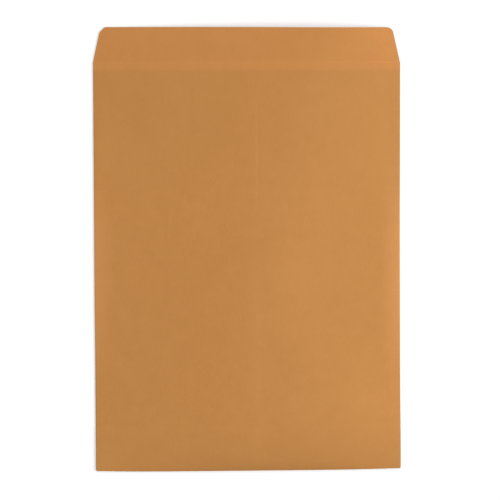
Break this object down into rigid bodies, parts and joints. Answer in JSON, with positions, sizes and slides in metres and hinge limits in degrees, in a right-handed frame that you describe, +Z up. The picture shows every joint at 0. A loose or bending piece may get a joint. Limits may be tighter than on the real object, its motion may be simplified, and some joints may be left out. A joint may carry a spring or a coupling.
{
  "type": "paper envelope",
  "caption": "Large plain kraft-paper envelope opening at the short end, lying on its back with its seal flap opened out flat.",
  "frame": {"origin": "on the floor under the middle of the envelope's outline, flap included", "axes": "+X across the width to the right as the front is read, +Y from the bottom fold to the tip of the opened flap, +Z up out of the front panel"},
  "size_m": [0.2286, 0.3318, 0.0076],
  "materials": {
    "kraft_paper": "uncoated, matt, machine-finished kraft"
  },
  "bodies": {
    "root": {"envelope": "kraft_paper"}
  },
  "joints": []
}
